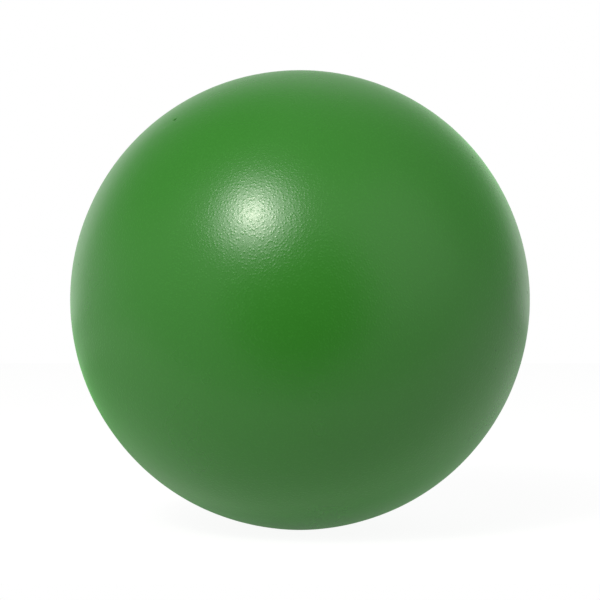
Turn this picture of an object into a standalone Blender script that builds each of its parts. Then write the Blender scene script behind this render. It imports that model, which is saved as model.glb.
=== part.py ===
"""Foam stress ball, 63 mm across, centred on the origin with +Z up.

The ball has three layers: a thin elastic colour coat, the dense skin that the foam
forms against the wall of its mould, and the soft foam core. Coat and skin are each
an upper and a lower half shell, parted at mid-height as the two mould halves are.
The upper halves hang on an empty at the ball's centre, which slides down the Z axis
as the ball is squeezed.
"""
import math

import bmesh
import bpy

# Driving dimensions, in metres
BALL_DIAMETER = 0.063
COAT_WALL = 0.0003
SKIN_WALL = 0.0010
CLEARANCE = 0.0003  # between layers, and between the two halves of a layer

# Facets
SEGMENTS = 40  # round the ball
QUARTER_STEPS = 10  # from mid-height to a pole

COAT_RADIUS = BALL_DIAMETER / 2
SKIN_RADIUS = COAT_RADIUS - COAT_WALL - CLEARANCE
CORE_RADIUS = SKIN_RADIUS - SKIN_WALL - CLEARANCE
MERGE_DISTANCE = 0.00001

# Linear colour and roughness of each layer
COAT_FINISH = ((0.052, 0.225, 0.036), 0.34)
SKIN_FINISH = ((0.64, 0.60, 0.44), 0.62)
FOAM_FINISH = ((0.72, 0.68, 0.52), 0.92)


def clear_scene():
    for obj in list(bpy.data.objects):
        bpy.data.objects.remove(obj, do_unlink=True)


def new_collection(name):
    collection = bpy.data.collections.new(name)
    bpy.context.scene.collection.children.link(collection)
    return collection


def layer_material(name, finish):
    """A non-metal with one colour and one roughness."""
    colour, roughness = finish
    material = bpy.data.materials.new(name)
    material.use_nodes = True
    shader = material.node_tree.nodes["Principled BSDF"]
    shader.inputs["Base Color"].default_value = (*colour, 1.0)
    shader.inputs["Roughness"].default_value = roughness
    shader.inputs["Metallic"].default_value = 0.0
    return material


def add_object(name, mesh, material, collection):
    mesh.materials.append(material)
    obj = bpy.data.objects.new(name, mesh)
    collection.objects.link(obj)
    return obj


def quarter_arc(radius, rim_height):
    """Points (x, z) from the pole down to the height of the rim, on a circle."""
    rim_angle = math.asin(rim_height / radius)
    points = []
    for step in range(QUARTER_STEPS + 1):
        angle = math.pi / 2 + (rim_angle - math.pi / 2) * step / QUARTER_STEPS
        points.append((radius * math.cos(angle), radius * math.sin(angle)))
    points[0] = (0.0, radius)
    return points


def half_shell_profile(outer_radius, wall, upper):
    """The cut outline of a half shell, from pole to pole, open only on the Z axis.

    It runs down the outer side, so that the turned shell faces outwards.
    """
    rim_height = CLEARANCE / 2
    outer = quarter_arc(outer_radius, rim_height)
    inner = quarter_arc(outer_radius - wall, rim_height)
    profile = outer + inner[::-1]
    if upper:
        return profile
    return [(x, -z) for x, z in reversed(profile)]


def half_shell(name, outer_radius, wall, upper, material, collection):
    """A half of a hollow ball, turned from its profile about the Z axis."""
    profile = half_shell_profile(outer_radius, wall, upper)
    mesh = bpy.data.meshes.new(name)
    edges = [(i, i + 1) for i in range(len(profile) - 1)]
    mesh.from_pydata([(x, 0.0, z) for x, z in profile], edges, [])
    obj = add_object(name, mesh, material, collection)
    turn = obj.modifiers.new("turn", "SCREW")
    turn.axis = "Z"
    turn.angle = 2 * math.pi
    turn.steps = SEGMENTS
    turn.render_steps = SEGMENTS
    turn.use_merge_vertices = True
    turn.merge_threshold = MERGE_DISTANCE
    turn.use_smooth_shade = True
    return obj


def foam_core(name, material, collection):
    """The foam that fills the skin, as one solid ball."""
    ball = bmesh.new()
    bmesh.ops.create_uvsphere(
        ball, u_segments=SEGMENTS, v_segments=2 * QUARTER_STEPS, radius=CORE_RADIUS
    )
    mesh = bpy.data.meshes.new(name)
    ball.to_mesh(mesh)
    ball.free()
    mesh.shade_smooth()
    return add_object(name, mesh, material, collection)


def squeeze_empty(collection):
    """The parent of the upper halves, on the Z axis at the ball's centre."""
    empty = bpy.data.objects.new("squeeze_slide", None)
    empty.empty_display_type = "SINGLE_ARROW"
    empty.empty_display_size = BALL_DIAMETER
    collection.objects.link(empty)
    return empty


clear_scene()
parts = new_collection("stress_ball")

coat = layer_material("colour_coat", COAT_FINISH)
skin = layer_material("foam_skin", SKIN_FINISH)
foam = layer_material("soft_foam", FOAM_FINISH)

half_shell("coat_lower", COAT_RADIUS, COAT_WALL, False, coat, parts)
half_shell("skin_lower", SKIN_RADIUS, SKIN_WALL, False, skin, parts)
foam_core("foam_core", foam, parts)

slide = squeeze_empty(parts)
for half in (
    half_shell("coat_upper", COAT_RADIUS, COAT_WALL, True, coat, parts),
    half_shell("skin_upper", SKIN_RADIUS, SKIN_WALL, True, skin, parts),
):
    half.parent = slide
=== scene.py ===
"""The looks of a foam stress ball, around its CAD model. Metres, +Z up, origin at the ball's centre."""
import math

import bmesh
import bpy
import numpy as np
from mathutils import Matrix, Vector, noise


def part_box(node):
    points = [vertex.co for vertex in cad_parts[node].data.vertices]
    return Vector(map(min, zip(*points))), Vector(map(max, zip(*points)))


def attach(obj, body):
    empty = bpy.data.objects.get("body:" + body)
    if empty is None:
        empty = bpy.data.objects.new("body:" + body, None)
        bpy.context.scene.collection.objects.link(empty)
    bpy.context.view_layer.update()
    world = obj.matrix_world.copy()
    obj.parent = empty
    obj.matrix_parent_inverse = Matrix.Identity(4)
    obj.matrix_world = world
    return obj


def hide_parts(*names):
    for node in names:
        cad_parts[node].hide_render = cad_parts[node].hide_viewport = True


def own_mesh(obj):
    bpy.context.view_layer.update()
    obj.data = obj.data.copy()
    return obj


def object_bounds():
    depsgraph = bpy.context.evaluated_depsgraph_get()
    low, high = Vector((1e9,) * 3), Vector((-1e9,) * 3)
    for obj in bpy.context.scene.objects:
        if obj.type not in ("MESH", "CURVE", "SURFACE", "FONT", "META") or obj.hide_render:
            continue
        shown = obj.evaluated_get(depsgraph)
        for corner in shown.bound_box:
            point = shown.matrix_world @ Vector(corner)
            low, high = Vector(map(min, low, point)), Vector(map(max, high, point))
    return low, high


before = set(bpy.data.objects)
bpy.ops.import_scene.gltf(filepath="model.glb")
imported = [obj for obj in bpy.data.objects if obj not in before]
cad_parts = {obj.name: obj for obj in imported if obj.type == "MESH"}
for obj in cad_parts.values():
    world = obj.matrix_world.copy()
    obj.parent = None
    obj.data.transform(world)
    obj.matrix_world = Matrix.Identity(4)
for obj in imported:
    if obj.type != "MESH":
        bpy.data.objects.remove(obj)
cad_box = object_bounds()


# ---------------------------------------------------------------------------
# Foam core. Soft polyurethane foam, poured as a liquid into a round two-part
# mould, where it rises and fills the ball. Its open cells show all over it as
# shallow cups with thin walls between them.
# ---------------------------------------------------------------------------
BALL_DIAMETER = cad_box[1].z - cad_box[0].z
core_low, core_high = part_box("foam_core")
CORE_RADIUS = (core_high.z - core_low.z) / 2
CORE_FACETS = 90  # along a quarter of the way round
CELL_PITCH = 0.0021
CELL_DEPTH = 0.00022
CELL_STEEPNESS = 1.6  # how soon the wall of a cell drops to its floor
SMALL_CELL_PITCH = 0.0008
SMALL_WALL_SHARE = 0.25  # of that pitch, from the top of a wall to its foot
SMALL_WALL_HEIGHT = 0.00015
FOAM_PATCH_SIZE = 0.007
FOAM_CREAM = (0.74, 0.69, 0.52)
FOAM_SHADE = (0.55, 0.48, 0.31)
FOAM_ROUGHNESS = (0.84, 0.98)
FOAM_IOR = 1.35


def round_blank(facets):
    """A cube with an even grid on each face, blown up round: its corners as unit vectors, and its quads."""
    blank = bmesh.new()
    bmesh.ops.create_cube(blank, size=2.0)
    bmesh.ops.subdivide_edges(blank, edges=blank.edges, cuts=facets - 1, use_grid_fill=True)
    corners = np.array([corner.co for corner in blank.verts])
    quads = [[corner.index for corner in face.verts] for face in blank.faces]
    blank.free()
    bulged = np.tan(corners * math.pi / 4)
    return bulged / np.linalg.norm(bulged, axis=1, keepdims=True), quads


def ball_mesh(name, *walls):
    """One mesh from several round walls, each (directions, radii, quads, faces_out)."""
    points = []
    faces = []
    for directions, radii, quads, faces_out in walls:
        first = len(points)
        points.extend((directions * np.reshape(radii, (-1, 1))).tolist())
        turn = 1 if faces_out else -1
        faces.extend([first + corner for corner in quad[::turn]] for quad in quads)
    mesh = bpy.data.meshes.new(name)
    mesh.from_pydata(points, [], faces)
    mesh.shade_smooth()
    mesh.update()
    return mesh


def cell_cups(directions, radius, pitch):
    """How far down its foam cell each corner lies: 0 on the wall between two cells, 1 on the floor."""
    depths = []
    for direction in directions:
        near, next_near = noise.voronoi(Vector(direction) * (radius / pitch))[0][:2]
        depths.append(min(1.0, (next_near - near) * CELL_STEEPNESS))
    return np.array(depths)


def layer_material(name, ior):
    """A new non-metal, and the nodes that every layer of the ball starts from."""
    material = bpy.data.materials.new(name)
    material.use_nodes = True
    nodes = material.node_tree.nodes
    shader = nodes["Principled BSDF"]
    shader.inputs["IOR"].default_value = ior
    place = nodes.new("ShaderNodeTexCoord").outputs["Generated"]
    return material, nodes, material.node_tree.links, shader, place


def add_noise(nodes, links, place, size, detail, roughness=0.5):
    """Noise whose waves are about that size in metres. The place runs from 0 to 1 across the layer."""
    texture = nodes.new("ShaderNodeTexNoise")
    texture.inputs["Scale"].default_value = BALL_DIAMETER / size
    texture.inputs["Detail"].default_value = detail
    texture.inputs["Roughness"].default_value = roughness
    links.new(place, texture.inputs["Vector"])
    return texture.outputs["Fac"]


def add_cells(nodes, links, place, pitch, feature):
    """A pattern of cells about one pitch apart: the distance that the feature names, in pitches."""
    texture = nodes.new("ShaderNodeTexVoronoi")
    texture.feature = feature
    texture.inputs["Scale"].default_value = BALL_DIAMETER / pitch
    links.new(place, texture.inputs["Vector"])
    return texture.outputs["Distance"]


def add_range(nodes, links, value, span_in, span_out):
    """Carries a value from one span over to another, and holds it at the ends."""
    carry = nodes.new("ShaderNodeMapRange")
    for name, number in zip(("From Min", "From Max", "To Min", "To Max"), (*span_in, *span_out)):
        carry.inputs[name].default_value = number
    links.new(value, carry.inputs["Value"])
    return carry.outputs["Result"]


def add_colour_mix(nodes, links, share, colour_a, colour_b):
    """The first colour where the share is 0, the second where it is 1. Either may be a node's output."""
    mix = nodes.new("ShaderNodeMix")
    mix.data_type = "RGBA"
    links.new(share, mix.inputs["Factor"])
    colour_sockets = [socket for socket in mix.inputs if socket.type == "RGBA"]
    for socket, colour in zip(colour_sockets, (colour_a, colour_b)):
        if isinstance(colour, tuple):
            socket.default_value = (*colour, 1.0)
        else:
            links.new(colour, socket)
    return next(socket for socket in mix.outputs if socket.type == "RGBA")


def add_bump(nodes, links, height, depth, onto=None):
    """Relief of that depth in metres, on top of another relief if one is given."""
    bump = nodes.new("ShaderNodeBump")
    bump.inputs["Strength"].default_value = 1.0
    bump.inputs["Distance"].default_value = depth
    links.new(height, bump.inputs["Height"])
    if onto is not None:
        links.new(onto, bump.inputs["Normal"])
    return bump.outputs["Normal"]


def vary_roughness(nodes, links, shader, value, value_span, roughness_span):
    """Lets the gloss wander with a value. The middle roughness is what a viewer without nodes gets."""
    shader.inputs["Roughness"].default_value = sum(roughness_span) / 2
    roughness = add_range(nodes, links, value, value_span, roughness_span)
    links.new(roughness, shader.inputs["Roughness"])


def add_piece(name, mesh, material):
    mesh.materials.append(material)
    piece = bpy.data.objects.new(name, mesh)
    bpy.context.scene.collection.objects.link(piece)
    return piece


def fit_layer(piece, nodes_stood_for):
    """Puts a finished layer on the ball: it stands for its CAD solids, and the squeeze presses it flat."""
    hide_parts(*nodes_stood_for)
    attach(piece, "lower_half")
    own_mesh(piece)


def foam_material():
    material, nodes, links, shader, place = layer_material("open_cell_foam", FOAM_IOR)
    from_wall = add_cells(nodes, links, place, SMALL_CELL_PITCH, "DISTANCE_TO_EDGE")
    walls = add_range(nodes, links, from_wall, (0.0, SMALL_WALL_SHARE), (1.0, 0.0))
    patches = add_noise(nodes, links, place, FOAM_PATCH_SIZE, detail=4.0)
    tone = add_colour_mix(nodes, links, patches, FOAM_SHADE, FOAM_CREAM)
    colour = add_colour_mix(nodes, links, walls, tone, FOAM_CREAM)
    links.new(colour, shader.inputs["Base Color"])
    vary_roughness(nodes, links, shader, patches, (0.0, 1.0), FOAM_ROUGHNESS)
    links.new(add_bump(nodes, links, walls, SMALL_WALL_HEIGHT), shader.inputs["Normal"])
    return material


core_directions, core_quads = round_blank(CORE_FACETS)
core_radii = CORE_RADIUS - CELL_DEPTH * cell_cups(core_directions, CORE_RADIUS, CELL_PITCH)
foam = add_piece(
    "foam_core_cells",
    ball_mesh("foam_core_cells", (core_directions, core_radii, core_quads, True)),
    foam_material(),
)
fit_layer(foam, ["foam_core"])


# ---------------------------------------------------------------------------
# Moulded skin. Where the rising foam met the cool wall of the mould it closed
# up into a dense skin, about a millimetre thick: smooth outside, with the
# mould's fine parting line at mid-height, and rough with cells inside.
# ---------------------------------------------------------------------------
SKIN_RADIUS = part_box("skin_upper")[1].z
SKIN_INSET = 0.00006  # how far the mean surface lies inside that radius
SKIN_WALL = 0.0009
SKIN_FACETS = 80
SKIN_INSIDE_FACETS = 44
SKIN_WAVES = ((0.25, 0.00003), (0.06, 0.00001))  # length in radii of the ball, height in metres
SKIN_INSIDE_WAVES = ((0.05, 0.00006),)
SEED_STEPS = (3.7, 1.9, 5.3)  # how far apart in the noise one seed and the next lie
PARTING_LINE_HEIGHT = 0.00006
SKIN_PATCH_SIZE = 0.0045
SKIN_GRAIN_SIZE = 0.0005
SKIN_GRAIN_HEIGHT = 0.00004
SKIN_CREAM = (0.66, 0.62, 0.45)
SKIN_TAN = (0.56, 0.50, 0.33)
SKIN_ROUGHNESS = (0.50, 0.72)
SKIN_IOR = 1.45
NOISE_SPAN = (0.2, 0.8)  # nearly every value of a noise texture lies between these


def slow_waves(directions, seed, waves):
    """Smooth unevenness in metres, along each direction: the sum of a few noises."""
    heights = np.zeros(len(directions))
    shift = Vector([seed * step for step in SEED_STEPS])
    for length, height in waves:
        heights += [height * noise.noise(Vector(direction) / length + shift) for direction in directions]
    return heights


def skin_material():
    material, nodes, links, shader, place = layer_material("moulded_foam_skin", SKIN_IOR)
    patches = add_noise(nodes, links, place, SKIN_PATCH_SIZE, detail=5.0)
    links.new(add_colour_mix(nodes, links, patches, SKIN_TAN, SKIN_CREAM), shader.inputs["Base Color"])
    vary_roughness(nodes, links, shader, patches, NOISE_SPAN, SKIN_ROUGHNESS)
    grain = add_noise(nodes, links, place, SKIN_GRAIN_SIZE, detail=3.0)
    links.new(add_bump(nodes, links, grain, SKIN_GRAIN_HEIGHT), shader.inputs["Normal"])
    return material


skin_directions, skin_quads = round_blank(SKIN_FACETS)
skin_radii = SKIN_RADIUS - SKIN_INSET + slow_waves(skin_directions, 2, SKIN_WAVES)
at_mid_height = np.isclose(skin_directions[:, 2], 0.0, atol=1e-6)
skin_radii += PARTING_LINE_HEIGHT * at_mid_height
inside_directions, inside_quads = round_blank(SKIN_INSIDE_FACETS)
inside_radii = SKIN_RADIUS - SKIN_WALL + slow_waves(inside_directions, 3, SKIN_INSIDE_WAVES)
skin = add_piece(
    "moulded_skin",
    ball_mesh(
        "moulded_skin",
        (skin_directions, skin_radii, skin_quads, True),
        (inside_directions, inside_radii, inside_quads, False),
    ),
    skin_material(),
)
fit_layer(skin, ["skin_lower", "skin_upper"])


# ---------------------------------------------------------------------------
# Colour coat. Elastic half-gloss green paint, sprayed all round the finished
# ball in one go. The spray dries to a fine pebbled film with a few pinholes
# where bubbles broke, and it stretches and folds with the foam.
# ---------------------------------------------------------------------------
COAT_RADIUS = cad_box[1].z
COAT_INSET = 0.00003  # how far the mean surface lies inside that radius
COAT_WALL = 0.00028
COAT_FACETS = 120
COAT_INSIDE_FACETS = 40
COAT_WAVES = ((0.3, 0.00003), (0.05, 0.000006))
COAT_PATCH_SIZE = 0.0126
COAT_GREEN = (0.037, 0.222, 0.022)
COAT_DEEP_GREEN = (0.034, 0.208, 0.020)
COAT_ROUGHNESS = (0.265, 0.295)
COAT_IOR = 1.5
SHEEN_WEIGHT = 0.30
SHEEN_ROUGHNESS = 0.4
SHEEN_GREEN = (0.08, 1.0, 0.04)
PEBBLE_PITCH = 0.00036
PEBBLE_SPREAD = 0.58  # of a pitch: how far a pebble reaches from its middle
PEBBLE_HEIGHT = 0.000011
GRIT_PITCH = 0.0002
GRIT_HEIGHT = 0.000003
GAP_SHADE_GREEN = (0.030, 0.188, 0.017)  # painted shade: a darker green laid in the gaps between pebbles
GAP_SHADE_SHARE = 0.6  # of that darker green, where a gap is deepest
# Painted shade: the nearly black colour of a pinhole, darkest in its middle.
PIT_SHADE_GREEN = (0.012, 0.03, 0.009)
PIT_PATCH = 0.0006  # how far round a pit the facets are cut finer
PIT_CUTS = 3  # across each of those facets
PITS = (  # direction from the ball's centre, radius, depth
    ((-0.517, -0.418, 0.747), 0.00028, 0.00018),
    ((0.720, -0.354, 0.595), 0.00016, 0.00005),
    ((0.790, -0.577, -0.204), 0.00014, 0.00005),
    ((0.794, -0.538, -0.278), 0.00012, 0.00004),
    ((-0.926, -0.345, 0.149), 0.00014, 0.00005),
    ((0.310, 0.870, 0.380), 0.00020, 0.00012),
    ((-0.640, 0.590, -0.490), 0.00016, 0.00008),
    ((0.150, 0.350, 0.925), 0.00014, 0.00006),
)


def coat_material():
    material, nodes, links, shader, place = layer_material("pebbled_green_coat", COAT_IOR)
    shader.inputs["Sheen Weight"].default_value = SHEEN_WEIGHT
    shader.inputs["Sheen Roughness"].default_value = SHEEN_ROUGHNESS
    shader.inputs["Sheen Tint"].default_value = (*SHEEN_GREEN, 1.0)
    from_middle = add_cells(nodes, links, place, PEBBLE_PITCH, "F1")
    pebbles = add_range(nodes, links, from_middle, (0.0, PEBBLE_SPREAD), (1.0, 0.0))
    pebbles.node.interpolation_type = "SMOOTHSTEP"
    grit = add_noise(nodes, links, place, GRIT_PITCH, detail=1.0, roughness=0.4)
    pebble_relief = add_bump(nodes, links, pebbles, PEBBLE_HEIGHT)
    relief = add_bump(nodes, links, grit, GRIT_HEIGHT, onto=pebble_relief)
    links.new(relief, shader.inputs["Normal"])
    patches = add_noise(nodes, links, place, COAT_PATCH_SIZE, detail=3.0)
    vary_roughness(nodes, links, shader, patches, NOISE_SPAN, COAT_ROUGHNESS)
    slow_green = add_colour_mix(nodes, links, patches, COAT_DEEP_GREEN, COAT_GREEN)
    # Painted shade: the gaps between the pebbles, where the relief dips, are coloured a darker green.
    gap_shade = add_range(nodes, links, pebbles, (0.0, 1.0), (GAP_SHADE_SHARE, 0.0))
    paint_and_gap_shade = add_colour_mix(nodes, links, gap_shade, slow_green, GAP_SHADE_GREEN)
    # Painted shade: darkens each pinhole by how deep its corners lie in it.
    pit = nodes.new("ShaderNodeAttribute")
    pit.attribute_name = "pit"
    colour = add_colour_mix(nodes, links, pit.outputs["Fac"], paint_and_gap_shade, PIT_SHADE_GREEN)
    links.new(colour, shader.inputs["Base Color"])
    return material


def cut_pits(mesh):
    """Cuts the facets finer around each pit, sinks it in, and marks how deep each corner lies in it, which
    the coat paints as shade.
    """
    work = bmesh.new()
    work.from_mesh(mesh)
    pit_shade = work.verts.layers.float.new("pit")
    for direction, radius, depth in PITS:
        middle = Vector(direction).normalized() * COAT_RADIUS
        patch = [
            face
            for face in work.faces
            if (face.verts[0].co - middle).length < PIT_PATCH
            and face.verts[0].co.length > COAT_RADIUS - COAT_WALL / 2  # not on the coat's inner wall
        ]
        edges = list({edge for face in patch for edge in face.edges})
        bmesh.ops.subdivide_edges(work, edges=edges, cuts=PIT_CUTS, use_grid_fill=True)
        for corner in work.verts:
            sunk = 1 - ((corner.co - middle).length / radius) ** 2
            if sunk > 0:
                corner[pit_shade] = sunk
                corner.co *= 1 - sunk * depth / COAT_RADIUS
    work.to_mesh(mesh)
    work.free()
    mesh.shade_smooth()
    return mesh


coat_directions, coat_quads = round_blank(COAT_FACETS)
coat_radii = COAT_RADIUS - COAT_INSET + slow_waves(coat_directions, 5, COAT_WAVES)
backing_directions, backing_quads = round_blank(COAT_INSIDE_FACETS)
coat_walls = ball_mesh(
    "green_coat",
    (coat_directions, coat_radii, coat_quads, True),
    (backing_directions, COAT_RADIUS - COAT_WALL, backing_quads, False),
)
coat = add_piece("green_coat", cut_pits(coat_walls), coat_material())
fit_layer(coat, ["coat_lower", "coat_upper"])


# ---------------------------------------------------------------------------
# Studio. A white light tent that is open at the top and in front, where the
# camera looks in, a pale board for the ball to rest on, and a soft lamp up to
# the left. The camera is level with the ball.
# ---------------------------------------------------------------------------
FLOOR_TOP = cad_box[0].z
FLOOR_FRONT = -0.045
FLOOR_REACH = 0.6
FLOOR_WHITE = 0.5
FLOOR_GLOW = 0.26
PAINTED_SHADOW_SPOT = (-0.06, 0.07, FLOOR_TOP)  # painted shadow on the floor, behind the ball and to the left, where the glow fades out
PAINTED_SHADOW_RADII = (0.045, 0.09)  # no glow within the first, full glow beyond the second
SEEN_FLOOR_WHITE = 0.12
SEEN_FLOOR_GLOW = 0.93
KEY_DIRECTION = (-0.34, -0.69, 0.63)
KEY_LAMPS = (  # one behind the other: name, distance from the ball's centre, width, radiance, colour
    ("key_bulb", 0.50, 0.05, 45.0, (1.0, 0.68, 0.72)),
    ("key_reflector", 0.51, 0.12, 21.5, (0.86, 1.0, 0.84)),
    ("key_softbox", 0.52, 0.32, 4.6, (0.96, 1.0, 0.95)),
)
TENT_LIGHT = 0.52
TENT_CARDS = (  # toward, whole within and gone beyond (in degrees), light added
    ((-0.32, 1.0, 0.0), 8, 32, 0.45),  # backdrop, left of the ball
    ((0.36, 1.0, -0.02), 8, 31, 0.45),  # backdrop, right of the ball
    ((0.75, -0.6, 0.4), 12, 38, 0.25),  # front, up on the right
    ((-0.80, 0.55, 0.0), 10, 35, 0.14),  # left side
)
TENT_OPENINGS = (  # toward, whole within and gone beyond (in degrees), share of the light lost
    ((0.0, 0.0, 1.0), 18, 44, 0.42),  # top
    ((0.0, -1.0, -0.05), 22, 42, 1.0),  # front, where the camera looks in
    ((-0.62, 0.28, 0.72), 12, 38, 0.58),  # back, up on the left
    ((0.72, 0.40, 0.54), 10, 38, 0.5),  # back, up on the right
)
LENS_MM = 100.0
SENSOR_MM = 36.0
BALL_SHARE = 0.767  # of the way from the middle of the frame to its edge


def seen_apart(nodes, links, shader, seen_shader):
    """One shader for the light that the ball gets, and another for what the camera sees."""
    mix = nodes.new("ShaderNodeMixShader")
    links.new(nodes.new("ShaderNodeLightPath").outputs["Is Camera Ray"], mix.inputs[0])
    links.new(shader, mix.inputs[1])
    links.new(seen_shader, mix.inputs[2])
    return mix.outputs[0]


def glowing_sheet(nodes, links, white, glow, shadow_spot=None):
    """A matt sheet that the lamps light and that glows a little by itself, except near its painted shadow
    spot.
    """
    sheet = nodes.new("ShaderNodeBsdfDiffuse")
    sheet.inputs["Color"].default_value = (white, white, white, 1.0)
    shine = nodes.new("ShaderNodeEmission")
    shine.inputs["Strength"].default_value = glow
    # Painted shadow: the glow fades out near the spot.
    if shadow_spot is not None:
        apart = nodes.new("ShaderNodeVectorMath")
        apart.operation = "DISTANCE"
        apart.inputs[1].default_value = shadow_spot
        links.new(nodes.new("ShaderNodeNewGeometry").outputs["Position"], apart.inputs[0])
        fade = add_range(nodes, links, apart.outputs["Value"], PAINTED_SHADOW_RADII, (0.0, glow))
        links.new(fade, shine.inputs["Strength"])
    both = nodes.new("ShaderNodeAddShader")
    links.new(sheet.outputs[0], both.inputs[0])
    links.new(shine.outputs[0], both.inputs[1])
    return both.outputs[0]


def floor_material():
    """A matt board that glows as if lit from below, with a painted shadow behind the ball where the glow
    fades. It looks whiter to the camera than to the ball.
    """
    material = bpy.data.materials.new("pale_floor")
    material.use_nodes = True
    nodes, links = material.node_tree.nodes, material.node_tree.links
    nodes.clear()
    board = glowing_sheet(nodes, links, FLOOR_WHITE, FLOOR_GLOW, PAINTED_SHADOW_SPOT)
    seen_board = glowing_sheet(nodes, links, SEEN_FLOOR_WHITE, SEEN_FLOOR_GLOW)
    output = nodes.new("ShaderNodeOutputMaterial")
    links.new(seen_apart(nodes, links, board, seen_board), output.inputs["Surface"])
    return material


def add_lamp(name, distance, width, radiance, colour):
    """A round soft lamp in the key direction, facing the ball. A radiance of 1 shows as pure white."""
    lamp = bpy.data.lights.new(name, "AREA")
    lamp.shape = "DISK"
    lamp.size = width
    lamp.energy = radiance * math.pi * math.pi * width * width / 4
    lamp.color = colour
    stand = bpy.data.objects.new(name, lamp)
    toward = Vector(KEY_DIRECTION).normalized()
    stand.location = toward * distance
    stand.rotation_mode = "QUATERNION"
    stand.rotation_quaternion = toward.to_track_quat("Z", "Y")
    stand.visible_camera = False
    bpy.context.scene.collection.objects.link(stand)


def add_math(nodes, links, operation, *values):
    step = nodes.new("ShaderNodeMath")
    step.operation = operation
    for socket, value in zip(step.inputs, values):
        if isinstance(value, float):
            socket.default_value = value
        else:
            links.new(value, socket)
    return step.outputs[0]


def tent_patch(nodes, links, toward, whole_within, gone_beyond, amount):
    """A round soft patch of the tent: the whole amount near one direction, and 0 away from it."""
    alignment = nodes.new("ShaderNodeVectorMath")
    alignment.operation = "DOT_PRODUCT"
    alignment.inputs[1].default_value = Vector(toward).normalized()
    links.new(nodes.new("ShaderNodeTexCoord").outputs["Generated"], alignment.inputs[0])
    edge = [math.cos(math.radians(angle)) for angle in (gone_beyond, whole_within)]
    return add_range(nodes, links, alignment.outputs["Value"], edge, (0.0, amount))


def light_tent():
    """White all round, with the cards and openings that the gloss mirrors. The camera sees plain white."""
    world = bpy.data.worlds.new("light_tent")
    world.use_nodes = True
    nodes, links = world.node_tree.nodes, world.node_tree.links
    light = TENT_LIGHT
    for card in TENT_CARDS:
        light = add_math(nodes, links, "ADD", light, tent_patch(nodes, links, *card))
    for opening in TENT_OPENINGS:
        left_over = add_math(nodes, links, "SUBTRACT", 1.0, tent_patch(nodes, links, *opening))
        light = add_math(nodes, links, "MULTIPLY", light, left_over)
    tent = nodes["Background"]
    links.new(light, tent.inputs["Strength"])
    seen_tent = nodes.new("ShaderNodeBackground")
    for cloth in (tent, seen_tent):
        cloth.inputs["Color"].default_value = (1.0, 1.0, 1.0, 1.0)
    shader = seen_apart(nodes, links, tent.outputs[0], seen_tent.outputs[0])
    links.new(shader, nodes["World Output"].inputs["Surface"])
    return world


floor_mesh = bpy.data.meshes.new("floor")
floor_mesh.from_pydata(
    [
        (-FLOOR_REACH, FLOOR_FRONT, FLOOR_TOP),
        (FLOOR_REACH, FLOOR_FRONT, FLOOR_TOP),
        (FLOOR_REACH, FLOOR_REACH, FLOOR_TOP),
        (-FLOOR_REACH, FLOOR_REACH, FLOOR_TOP),
    ],
    [],
    [[0, 1, 2, 3]],
)
add_piece("floor", floor_mesh, floor_material())
for key_lamp in KEY_LAMPS:
    add_lamp(*key_lamp)
bpy.context.scene.world = light_tent()

camera = bpy.data.objects.new("camera", bpy.data.cameras.new("camera"))
camera.data.lens = LENS_MM
camera.data.sensor_width = SENSOR_MM
outline_angle = math.atan(BALL_SHARE * SENSOR_MM / 2 / LENS_MM)
camera.location = (0.0, -COAT_RADIUS / math.sin(outline_angle), 0.0)
camera.rotation_euler = (math.pi / 2, 0.0, 0.0)
camera.data.clip_start = 0.01
bpy.context.scene.collection.objects.link(camera)
bpy.context.scene.camera = camera
bpy.context.scene.view_settings.view_transform = "Standard"
